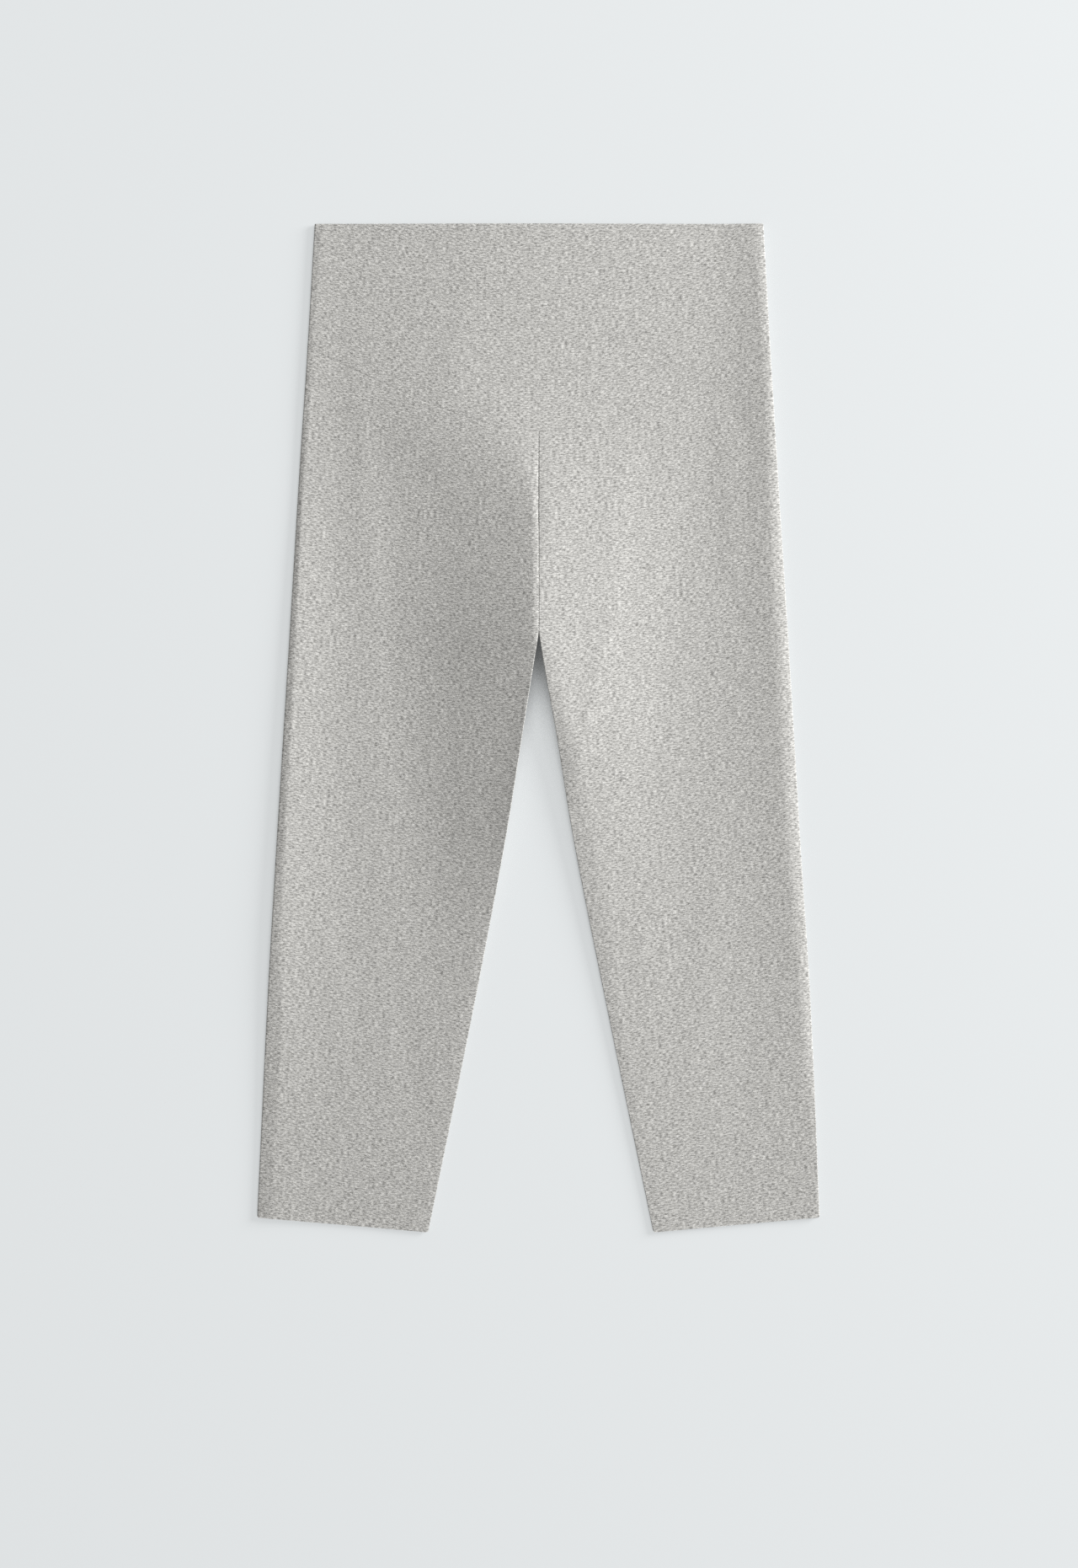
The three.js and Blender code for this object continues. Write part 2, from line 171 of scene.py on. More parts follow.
# %% [markdown]
# ## Heights
# Pressed jersey isn't flat like paper. Each outer fold stays a little plump, because the cloth
# would rather not bend sharply. Along the centre seam four layers of seam allowance push the front
# up into a soft ridge, which runs on down both inseams and fades. These two things are all that
# the light has to work with, so they are the most important numbers in the file. The first table
# has the height at rest, and the ridge's height and reach on each side of the seam; the second
# says where the ridge's top is above the centre seam and how round it is there; the third has the
# plump folds.

# %% Lay of the front
LAY_COLUMNS = ("down", "rest", "left_crest", "right_crest", "left_reach", "right_reach")
LAY = [
    dict(zip(LAY_COLUMNS, row))
    for row in (
        (0, 3.9, 2.5, 2.5, 140, 140),
        (60, 3.9, 2.2, 2.2, 110, 140),
        (114, 3.8, 3.4, 3.4, 100, 140),
        (145, 3.6, 5.2, 5.2, 115, 135),
        (182, 3.1, 8, 8, 118, 132),
        (220, 2.6, 11.7, 11.4, 119, 132),
        (270, 2.4, 15.2, 14.3, 123, 131),
        (301, 2.4, 16, 15.1, 124, 129),
        (320, 2.4, 14.8, 15.3, 114, 123),
        (370, 2.4, 12, 13.4, 102, 110),
        (420, 2.4, 10.4, 9, 88, 98),
        (470, 2.4, 6.8, 6, 74, 90),
        (520, 2.4, 3.4, 4.2, 58, 88),
        (580, 2.4, 1.6, 2.6, 52, 86),
        (660, 2.4, 0.8, 1.4, 48, 76),
        (742, 2.4, 0.5, 0.6, 44, 60),
    )
]
RIDGE = [
    {"down": 0, "at": -14, "round": 40},
    {"down": 60, "at": -40, "round": 40},
    {"down": 114, "at": -48, "round": 34},
    {"down": 153, "at": -26, "round": 22},
    {"down": 190, "at": -6, "round": 8},
    {"down": 222, "at": 0, "round": 1},
    {"down": 226, "at": 0, "round": 1},
    {"down": 301, "at": 0, "round": 0},
]
FOLD_COLUMNS = ("down", "left_fold", "right_fold", "left_spread", "right_spread")
FOLDS = [
    dict(zip(FOLD_COLUMNS, row))
    for row in (
        (0, 0.6, 2.4, 40, 50),
        (100, 0.9, 3.4, 40, 56),
        (182, 1.5, 3.9, 44, 66),
        (225, 2.7, 3.9, 42, 70),
        (320, 4.6, 3.9, 58, 72),
        (420, 5.4, 3.4, 66, 72),
        (520, 5.8, 2.6, 78, 68),
        (600, 4.4, 1.8, 78, 62),
        (660, 2.8, 1.2, 78, 60),
        (742, 2, 0.8, 80, 60),
    )
]
print("ridge at the crotch", LAY[7]["left_crest"], "and", LAY[7]["right_crest"], "mm high")

# %% [markdown]
# ## Shoulders
# Next to each fold and each seam the cloth slopes down to the edge over some millimetres. In the
# photograph that slope is the thin dark or bright line along every edge, so it is a table too. A
# shoulder has a drop at the edge itself and a width over which it fades; a drop below zero is a
# rise, and the left inseam has one. What is left of the turn at the edge is a corner of less than
# a millimetre. Seams are shallow dips, about as wide as the thread that makes them.

# %% Shoulders
SHOULDER_COLUMNS = ("down", "left_drop", "right_drop", "left_wide", "right_wide")
FOLD_SHOULDERS = [
    dict(zip(SHOULDER_COLUMNS, row))
    for row in (
        (0, 0.6, 1.1, 5.5, 9),
        (95, 0.5, 0.9, 4.2, 6.5),
        (160, 0.8, 1.2, 3.6, 8),
        (225, 1.2, 2.1, 3.6, 11),
        (306, 1.45, 2.2, 5, 11.5),
        (455, 1.45, 2.2, 6, 12),
        (520, 1.25, 1.7, 7, 10.5),
        (600, 1.6, 1.5, 11.5, 9),
        (660, 1.3, 0.2, 11, 8),
        (742, 1.1, 0.1, 10, 8),
    )
]
SEAM_SHOULDERS = [
    dict(zip(SHOULDER_COLUMNS, row))
    for row in (
        (0, 0, 0, 5, 5),
        (145, 0, 0, 5, 5),
        (182, 0.7, 0.4, 5, 9),
        (225, 1, 0.5, 5.5, 9),
        (270, 1.2, 0.3, 5.5, 9),
        (301, 1.2, 0.3, 5.5, 9),
        (314, 0.2, 0.5, 5, 9),
        (326, 0, 0.7, 12, 9.5),
        (338, -0.3, 0.9, 22, 10),
        (364, -0.7, 1.5, 24, 11),
        (396, -0.9, 1.9, 24, 13),
        (430, -0.8, 1.7, 24, 16),
        (460, -0.4, 1.3, 22, 16),
        (490, 0, 1.1, 12, 14),
        (520, 0.35, 0.9, 6, 12),
        (580, 0.2, 0.55, 6, 9),
        (742, 0.15, 0.1, 6, 8),
    )
]
FOLD_BEND = {"left": 1.05, "right": 2.0}
SEAM_BEND = {"left": 2.0, "right": 1.5}
FOLD_SHAPE = 1.3
FOLD_CORNER = {"left": 0.9, "right": 0.5}
CORNER_DEPTH = 0.9
SEAM_CORNER = 0.5
SEAM_TURN = 1.1
STEEP_WALL = 5
SEAM_DIP = 0.12
SEAM_REACH = 0.8
BACK_TURN = 1.6
BACK_ROLL = 2.5
UNDER_ROLL = 3.0
CROTCH_NOSE = 18.0

print("folds end in corners of", FOLD_CORNER, "mm, seams in corners of", SEAM_CORNER, "mm")

# %% [markdown]
# ## The front's height
# The tables come together in one function that gives the height of the front's face at any place.
# A sculpted mesh or a displacement map would hold the same form, but only as thousands of heights
# that nobody can read, while each term here is one thing that a hand could feel on the cloth.

# %% Height of the front
RIDGE_STEEPNESS = 4 / 3


def pick(x, down, table, name):
    """Reads the left or the right column of a table, whichever side of the middle x is on."""
    return np.where(x < 0, curve(table, "left_" + name, down), curve(table, "right_" + name, down))


def ridge_shape(share):
    """Falls evenly from the ridge's top, and eases out over the outer half of its reach."""
    steep = 1 - RIDGE_STEEPNESS * share
    easing = RIDGE_STEEPNESS * np.clip(1 - share, 0, 1) ** 2
    return np.where(share < 0.5, steep, easing)


def fold_shape(share):
    """Full at the fold, and nothing past its spread."""
    return (1 - np.clip(share, 0, 1) ** FOLD_SHAPE) ** 3


def shoulder(x, down, table, bend, distance):
    """The soft slope beside an edge: full drop at the edge itself, nothing past its width."""
    share = 1 - np.clip(distance / pick(x, down, table, "wide"), 0, 1)
    return pick(x, down, table, "drop") * share ** np.where(x < 0, bend["left"], bend["right"])


def front_height(x, down):
    """Height of the front's outer face above the table."""
    x, down = np.broadcast_arrays(np.asarray(x, dtype=float), np.asarray(down, dtype=float))
    leg_inner = np.where(x < 0, -inner_edge("left", down), inner_edge("right", down))
    from_ridge = x - np.where(down < RISE, curve(RIDGE, "at", down), leg_inner)
    round_top = curve(RIDGE, "round", down)
    away = np.hypot(from_ridge, round_top) - round_top
    reach = pick(from_ridge, down, LAY, "reach")
    crest = pick(from_ridge, down, LAY, "crest") * ridge_shape(away / reach)
    edge = np.where(x < 0, outer_edge("left", down), outer_edge("right", down))
    to_fold = edge - np.abs(x)
    corner = np.where(x < 0, FOLD_CORNER["left"], FOLD_CORNER["right"])
    fold = pick(x, down, FOLDS, "fold")
    fold = fold * fold_shape((to_fold - corner) / pick(x, down, FOLDS, "spread"))
    drop = shoulder(x, down, FOLD_SHOULDERS, FOLD_BEND, to_fold)
    drop = drop + shoulder(x, down, SEAM_SHOULDERS, SEAM_BEND, np.abs(x) - np.abs(leg_inner))
    dip = SEAM_DIP * np.exp(-(((down - front_seam(x)) / SEAM_REACH) ** 2))
    return curve(LAY, "rest", down) + crest + fold - drop - dip + drifts(x, down)


# %% [markdown]
# ## Drifts
# A hand that smooths a garment leaves faint long swells that nobody would call wrinkles, yet a
# perfectly even surface looks like plastic. A few are listed where the light shows them:
# each is a soft ridge or trough with a middle, a direction, a length, a width and a height of a
# few tenths of a millimetre.

# %% Drifts
DRIFT_COLUMNS = ("x", "down", "turn", "long", "wide", "rise")
DRIFTS = [
    dict(zip(DRIFT_COLUMNS, row))
    for row in (
        (-128, 190, 4, 90, 9, 0.35),
        (-108, 260, 2, 110, 11, -0.25),
        (-60, 90, -12, 60, 14, 0.3),
        (52, 240, -6, 90, 12, 0.35),
        (44, 330, -14, 70, 8, 0.4),
        (96, 300, -8, 120, 12, -0.3),
        (140, 210, 3, 60, 8, 0.3),
        (150, 150, 24, 26, 7, -0.3),
        (146, 280, 18, 30, 7, -0.25),
        (-150, 560, 6, 80, 10, 0.3),
        (-96, 610, 10, 70, 10, -0.25),
        (120, 560, -8, 90, 11, 0.3),
        (150, 640, -6, 60, 9, -0.25),
        (20, 60, 70, 60, 16, 0.25),
        (90, 110, 60, 50, 14, -0.25),
    )
]


def drifts(x, down):
    """The sum of all drifts at a place."""
    total = np.zeros(np.shape(x))
    for one in DRIFTS:
        turn = math.radians(one["turn"])
        along = (down - one["down"]) * math.cos(turn) + (x - one["x"]) * math.sin(turn)
        across = (x - one["x"]) * math.cos(turn) - (down - one["down"]) * math.sin(turn)
        total += one["rise"] * np.exp(-((along / one["long"]) ** 2) - (across / one["wide"]) ** 2)
    return total


tops = front_height(np.linspace(-200, 200, 401), RISE)
print("highest point of the front at the crotch", round(float(tops.max()), 1), "mm")

# %% [markdown]
# ## The cloth's section
# Cut across a leg, the cloth is a flat loop: down into the centre seam or inseam, over the front,
# round the outer fold, and back underneath. The loop has a thickness, so every place on it is
# worked out twice, on the outer face (depth 0) and on the inner face (depth one cloth). At a fold
# the front turns through a small quarter circle and then falls steeply to the widest place, and
# the back turns up to it through a quarter ellipse, which leaves the flat panel smoothly and ends
# upright, as a real fold does. A bevel modifier would round both alike, and the front is sharper.

# %% Rounded edges
SIGN = {"left": -1.0, "right": 1.0}


def widest(side, down):
    """The height at which a fold reaches furthest out: just under its top, halfway if thin."""
    top = front_height(SIGN[side] * outer_edge(side, down), down)
    return np.maximum(top - CORNER_DEPTH, top / 2)


def round_off(angle, size, drop):
    """How far a corner has come down: a quarter circle of the given size, then a steep wall."""
    left = 1 - np.sin(angle)
    size = np.minimum(size, drop)
    return size * left + (drop - size) * left**STEEP_WALL


LEAST_CORNER = 0.0


def fold_over(side, down, turn, depth, lift=0.0):
    """The front's half of a fold: turn goes from 0 at the widest place to 1 on the front."""
    angle = turn * math.pi / 2
    edge = outer_edge(side, down) - depth
    roll = max(FOLD_CORNER[side] - depth, LEAST_CORNER)
    x = SIGN[side] * (edge - roll * (1 - np.cos(angle)))
    drop = front_height(SIGN[side] * edge, down) - depth - widest(side, down) - lift
    return x, front_height(x, down) - depth - round_off(angle, roll, drop)


def fold_under(side, down, turn, depth, lift=0.0):
    """The back's half of a fold: turn goes from 0 at the widest place to 1 on the underside."""
    angle = turn * math.pi / 2
    roll = UNDER_ROLL - depth
    x = SIGN[side] * (outer_edge(side, down) - depth - roll * (1 - np.cos(angle)))
    return x, depth + (widest(side, down) - lift - depth) * (1 - np.sin(angle))


def apart(down):
    """1 where the front and back centre seams are well apart, 0 at the crotch and below it."""
    near = 1 - np.clip((RISE - down) / CROTCH_NOSE, 0, 1)
    return np.sqrt(1 - near**2)


def seam_top(side, down):
    return front_height(SIGN[side] * (inner_edge(side, down) + SEAM_GAP / 2), down)


def seam_turn(side, down, turn, depth):
    """The front's turn down into the centre seam or the inseam."""
    angle = turn * math.pi / 2
    edge = inner_edge(side, down) + SEAM_GAP / 2 + depth
    roll = SEAM_CORNER - depth
    x = SIGN[side] * (edge + roll * (1 - np.cos(angle)))
    top = seam_top(side, down)
    low = top / 2 + SEAM_GAP / 2
    end = low + (top - SEAM_TURN - low) * apart(down)
    drop = front_height(SIGN[side] * edge, down) - depth - end
    return x, front_height(x, down) - depth - round_off(angle, roll, drop)


def seam_turn_under(side, down, turn, depth):
    """The back's turn up into the same seam."""
    angle = turn * math.pi / 2
    edge = inner_edge(side, down) + SEAM_GAP / 2 + depth
    x = SIGN[side] * (edge + (BACK_ROLL - depth) * (1 - np.cos(angle)))
    high = seam_top(side, down) / 2 - SEAM_GAP / 2
    end = high + (BACK_TURN - high) * apart(down)
    return x, depth + (end - depth) * (1 - np.sin(angle))


print("left fold at the hem is widest", round(float(widest("left", LENGTH)), 2), "mm up")

# %% [markdown]
# ## Building a wall of cloth
# A panel is a grid of columns that run down the garment. The first row has to lie on the waistband
# seam and the last one on the hem, and both are curves, so each column first finds where it meets
# them, by asking a few times in turn: where am I across, and how far down is the seam there? The
# grid is built twice, once for each face, and the four rims between them are closed. The result is
# one clean shell with an even thickness, which a Solidify modifier would give less exactly at the
# seams. The faces are shaded smooth and the rims stay sharp: smooth shading across a rim would
# bend the light over a whole row of faces, and draw a false band along each hem and seam.
# The UV map is the cloth's own measure. Its courses slant with the hem, as they do when a leg is
# cut a little off the straight grain.

# %% Wall helper
RIM_ANGLE = math.radians(50)
COURSE_SLANT = 0.14
SEARCH = 70


def meet(place, edge, around):
    """The distance down at which a column crosses a seam or hem."""
    down = np.linspace(around - SEARCH, around + SEARCH, 2 * SEARCH + 1)
    x, _z = place(down, 0.0)
    short_of = np.asarray(edge(x, down), dtype=float) - down
    i = int(np.argmax(short_of <= 0)) - 1
    return down[i] + short_of[i] / (short_of[i] - short_of[i + 1])


def rolling(count):
    """Even steps from 0 to 1."""
    return list(np.linspace(0, 1, count))


def wall(name, columns, edge_top, edge_low, guesses, cloth, rows):
    """Lays columns, given as (layer, place) pairs where place(down, depth) gives x and z."""
    starts = np.array([meet(place, edge_top[layer], guesses[0]) for layer, place in columns])
    ends = np.array([meet(place, edge_low[layer], guesses[1]) for layer, place in columns])
    faces_of_depth = []
    for depth in (0.0, cloth):
        grid = np.zeros((len(rows), len(columns), 3))
        for k, (_layer, place) in enumerate(columns):
            down = starts[k] + (ends[k] - starts[k]) * rows
            x, z = place(down, depth)
            grid[:, k, 0] = x
            grid[:, k, 1] = LENGTH / 2 - down
            grid[:, k, 2] = z
        faces_of_depth.append(grid)
    return shell(name, *faces_of_depth)


def shell(name, outer, inner):
    """Closes two matching grids, the outer and the inner face, into one mesh with its UV map."""
    rows, cols = outer.shape[:2]
    points = np.concatenate([outer.reshape(-1, 3), inner.reshape(-1, 3)]) * MM
    ids = np.arange(rows * cols).reshape(rows, cols)
    back = ids + rows * cols
    a, b, c, d = ids[:-1, :-1], ids[1:, :-1], ids[1:, 1:], ids[:-1, 1:]
    quads = [np.stack([a, b, c, d], -1).reshape(-1, 4)]
    a, b, c, d = back[:-1, :-1], back[1:, :-1], back[1:, 1:], back[:-1, 1:]
    quads.append(np.stack([a, d, c, b], -1).reshape(-1, 4))
    rim = np.concatenate([ids[0, :], ids[1:, -1], ids[-1, -2::-1], ids[-2:0:-1, 0]])
    after = np.roll(rim, -1)
    quads.append(np.stack([rim, after, after + rows * cols, rim + rows * cols], -1))
    quads = np.concatenate(quads)
    mesh = bpy.data.meshes.new(name)
    mesh.from_pydata(points.tolist(), [], quads.tolist())
    mesh.polygons.foreach_set("use_smooth", np.ones(len(quads), dtype=bool))
    mesh.set_sharp_from_angle(angle=RIM_ANGLE)
    steps = np.linalg.norm(np.diff(outer, axis=1), axis=2)
    across = np.concatenate([np.zeros((rows, 1)), np.cumsum(steps, axis=1)], 1)
    middle = across[:, cols // 2 : cols // 2 + 1]
    u = (across - middle) * MM
    v = (outer[:, :, 1] - COURSE_SLANT * np.hypot(outer[:, :, 0], BAND_TIP)) * MM
    uv = np.concatenate([np.stack([u, v], -1).reshape(-1, 2)] * 2)
    layer = mesh.uv_layers.new(name="cloth")
    layer.data.foreach_set("uv", uv[quads.reshape(-1)].reshape(-1))
    piece = bpy.data.objects.new(name, mesh)
    bpy.context.scene.collection.objects.link(piece)
    mesh.validate()
    return piece


def area_of(piece):
    """The area of one face of a shell, in square metres."""
    return sum(face.area for face in piece.data.polygons) / 2


def tell(name, piece):
    triangles = len(piece.data.polygons) * 2
    print(name + ":", triangles, "triangles,", round(area_of(piece), 3), "square metres of cloth")


# %% [markdown]
# ## The legs
# The front of a leg carries the look, so its columns are close together, and closer still by the
# seams and the fold, where the cloth turns within a few millimetres. The underside only has to
# lie flat. A subdivided plane, shrunk onto a form, would spread its points evenly and miss those
# turns, so each column is placed where the cloth needs it.

# %% Legs
FRONT_COLUMNS = 90
BACK_COLUMNS = 20
ROLL_COLUMNS = 9
LEG_ROWS = 270
LEG_ROW_CROWDING = 0.6
COLUMN_CROWDING = 0.82


def crowd(t):
    """Draws evenly spaced steps towards both ends."""
    return t + ((1 - math.cos(math.pi * t)) / 2 - t) * COLUMN_CROWDING


def leg_columns(side):
    """The columns of a leg, from its inseam over the front, round the fold and back below."""
    columns = []
    for t in rolling(ROLL_COLUMNS)[:-1]:
        columns.append(("front", lambda down, depth, t=t: seam_turn(side, down, t, depth)))

    def across_front(down, depth, t):
        start, _ = seam_turn(side, down, 1.0, depth)
        stop, _ = fold_over(side, down, 1.0, depth)
        x = start + (stop - start) * crowd(t)
        return x, front_height(x, down) - depth

    for t in rolling(FRONT_COLUMNS)[:-1]:
        columns.append(("front", lambda down, depth, t=t: across_front(down, depth, t)))
    for t in rolling(ROLL_COLUMNS):
        columns.append(("front", lambda down, depth, t=t: fold_over(side, down, 1 - t, depth)))
    for t in rolling(ROLL_COLUMNS)[1:-1]:
        columns.append(("back", lambda down, depth, t=t: fold_under(side, down, t, depth)))

    def across_back(down, depth, t):
        start, _ = fold_under(side, down, 1.0, depth)
        stop, _ = seam_turn_under(side, down, 1.0, depth)
        x = start + (stop - start) * t
        return x, depth + 0 * x

    for t in rolling(BACK_COLUMNS)[:-1]:
        columns.append(("back", lambda down, depth, t=t: across_back(down, depth, t)))
    for t in rolling(ROLL_COLUMNS):
        columns.append(("back", lambda down, depth, t=t: seam_turn_under(side, down, 1 - t, depth)))
    return columns


def near_ends(count, crowding):
    """Rows from 0 to 1 that come closer together at both ends."""
    t = np.linspace(0, 1, count)
    bent = (1 - np.cos(np.pi * t)) / 2
    return t + (bent - t) * crowding


def leg(side):
    top = {
        "front": lambda x, down: front_seam(x) + SEAM_GAP / 2,
        "back": lambda x, down: back_seam(x) + SEAM_GAP / 2,
    }
    low = {layer: (lambda x, down: hem_line(side, x, down)) for layer in ("front", "back")}
    rows = near_ends(LEG_ROWS, LEG_ROW_CROWDING)
    columns = leg_columns(side)
    if side == "left":
        columns = columns[::-1]
    guesses = (BAND_CENTRE, LENGTH)
    return wall("leg_" + side + "_cloth", columns, top, low, guesses, LEG_CLOTH, rows)


legs = {side: leg(side) for side in ("left", "right")}
for side, piece in legs.items():
    tell(side + " leg", piece)

# %% [markdown]
# ## The waistband
# Two layers of the same jersey are bonded face to face here, so the band is half as thick again
# and has no stitching. Its front and back pieces meet at the sides, halfway up each fold. They are
# made as the legs are, because they have to carry on the legs' surface without a step.

# %% Waistband
BAND_COLUMNS = 150
BAND_ROWS = 90
BAND_BACK_COLUMNS = 60
BAND_BACK_ROWS = 60
BAND_ROW_CROWDING = 0.7


def band_front():
    columns = []
    lift = SEAM_GAP / 2
    for t in rolling(ROLL_COLUMNS)[:-1]:
        columns.append(("front", lambda down, depth, t=t: fold_over("left", down, t, depth, lift)))

    def across_front(down, depth, t):
        start, _ = fold_over("left", down, 1.0, depth)
        stop, _ = fold_over("right", down, 1.0, depth)
        x = start + (stop - start) * crowd(t)
        return x, front_height(x, down) - depth

    for t in rolling(BAND_COLUMNS)[:-1]:
        columns.append(("front", lambda down, depth, t=t: across_front(down, depth, t)))
    for t in rolling(ROLL_COLUMNS):
        columns.append(("front", lambda down, depth, t=t: fold_over("right", down, 1 - t, depth, lift)))
    top = {"front": lambda x, down: 0 * x}
    low = {"front": lambda x, down: front_seam(x) - SEAM_GAP / 2}
    rows = near_ends(BAND_ROWS, BAND_ROW_CROWDING)
    guesses = (0.0, BAND_CENTRE)
    return wall("waistband_front_cloth", columns, top, low, guesses, BAND_CLOTH, rows)


def band_back():
    columns = []
    lift = SEAM_GAP / 2
    for t in rolling(ROLL_COLUMNS)[:-1]:
        columns.append(("back", lambda down, depth, t=t: fold_under("right", down, t, depth, lift)))

    def across_back(down, depth, t):
        start, _ = fold_under("right", down, 1.0, depth)
        stop, _ = fold_under("left", down, 1.0, depth)
        x = start + (stop - start) * t
        return x, depth + 0 * x

    for t in rolling(BAND_BACK_COLUMNS)[:-1]:
        columns.append(("back", lambda down, depth, t=t: across_back(down, depth, t)))
    for t in rolling(ROLL_COLUMNS):
        columns.append(("back", lambda down, depth, t=t: fold_under("left", down, 1 - t, depth, lift)))
    top = {"back": lambda x, down: 0 * x}
    low = {"back": lambda x, down: back_seam(x) - SEAM_GAP / 2}
    rows = near_ends(BAND_BACK_ROWS, BAND_ROW_CROWDING)
    guesses = (0.0, BAND_BACK)
    return wall("waistband_back_cloth", columns, top, low, guesses, BAND_CLOTH, rows)


bands = {"front": band_front(), "back": band_back()}
for name, piece in bands.items():
    tell(name + " band", piece)

# %% [markdown]
# ## Marl jersey
# Marl yarn is spun from dark and light fibres, so every stitch comes out in its own grey, and
# neighbours on the same course tend to match. The knit itself is rows of small V shapes. Both are
# drawn from the cloth's own measure, the UV map in metres, so the pattern turns round the folds
# as the real knit does. The yarn's grey comes from two noises that are long across and a course
# or two high: a short one for a few stitches, and a long one for the streaks. The V shapes are
# made by slanting each half of a stitch, and they are used for the bump and for painted shade in the
# gaps.
# A photograph of knit could be wrapped on instead, but it would bring its own light along, and
# its repeat would show. The nodes are added and wired through a few short helpers.

# %% Node helpers
class Graph:
    """Short ways to add and wire nodes."""

    def __init__(self, material):
        self.nodes = material.node_tree.nodes
        self.links = material.node_tree.links

    def add(self, kind, **settings):
        """Adds a node and sets its own settings."""
        node = self.nodes.new(kind)
        for name, value in settings.items():
            setattr(node, name, value)
        return node

    def feed(self, socket, value):
        """Wires a socket to another one, or gives it a number."""
        if isinstance(value, bpy.types.NodeSocket):
            self.links.new(value, socket)
        else:
            socket.default_value = value

    def math(self, operation, a, b=0.0, c=0.0):
        node = self.add("ShaderNodeMath", operation=operation)
        for socket, value in zip(node.inputs, (a, b, c)):
            self.feed(socket, value)
        return node.outputs[0]

    def noise(self, x, y, z=0.0, detail=0.0, scale=1.0):
        place = self.add("ShaderNodeCombineXYZ")
        for socket, value in zip(place.inputs, (x, y, z)):
            self.feed(socket, value)
        node = self.add("ShaderNodeTexNoise", noise_dimensions="3D")
        self.links.new(place.outputs[0], node.inputs["Vector"])
        node.inputs["Scale"].default_value = scale
        node.inputs["Detail"].default_value = detail
        return node.outputs["Fac"]

    def scaled(self, x, y, steps):
        """Two coordinates, each multiplied by its own number."""
        return self.math("MULTIPLY", x, steps[0]), self.math("MULTIPLY", y, steps[1])

    def speckle(self, x, y, z=0.0):
        place = self.add("ShaderNodeCombineXYZ")
        for socket, value in zip(place.inputs, (x, y, z)):
            self.feed(socket, value)
        node = self.add("ShaderNodeTexWhiteNoise", noise_dimensions="3D")
        self.links.new(place.outputs[0], node.inputs["Vector"])
        return node.outputs["Value"]


print("helpers:", [name for name in vars(Graph) if not name.startswith("_")])

# %% [markdown]
# ## The yarn and the knit
# A stitch is three quarters of a millimetre wide and a little more than half as high, which is a
# fine jersey. The tone runs between the darkest and the lightest yarn, and four shares say how much
# each source adds to it: single stitches, short streaks, long streaks, and wide faint clouds.
# Jersey scatters light almost evenly, so it is rough, with a little sheen from the loose hairs.

# %% Jersey material
WALE = 0.00075
COURSE = 0.00056
DARK_YARN = (0.240, 0.236, 0.225)
LIGHT_YARN = (0.825, 0.817, 0.784)
STITCH_SHARE = 0.4
SHORT_SHARE = 1.5
LONG_SHARE = 0.5
CLOUD_SHARE = 0.2
SHORT_STREAK = (0.30, 0.75)  # steps of the noise for each wale and each course
LONG_STREAK = (0.12, 0.60)
CLOUD = (70, 110)  # steps for each metre
CLOUD_DETAIL = 3.0
HAIR = 5200
HAIR_DETAIL = 2.0
HAIR_HEIGHT = 0.5
STITCH_LEAN = 1.1
# Painted shade in the knit: the relief level below which the colour darkens, and how strongly.
GAP_SHADE_LEVEL = 0.72
GAP_SHADE_SHARE = 0.30
SEED_STEP = 17.0


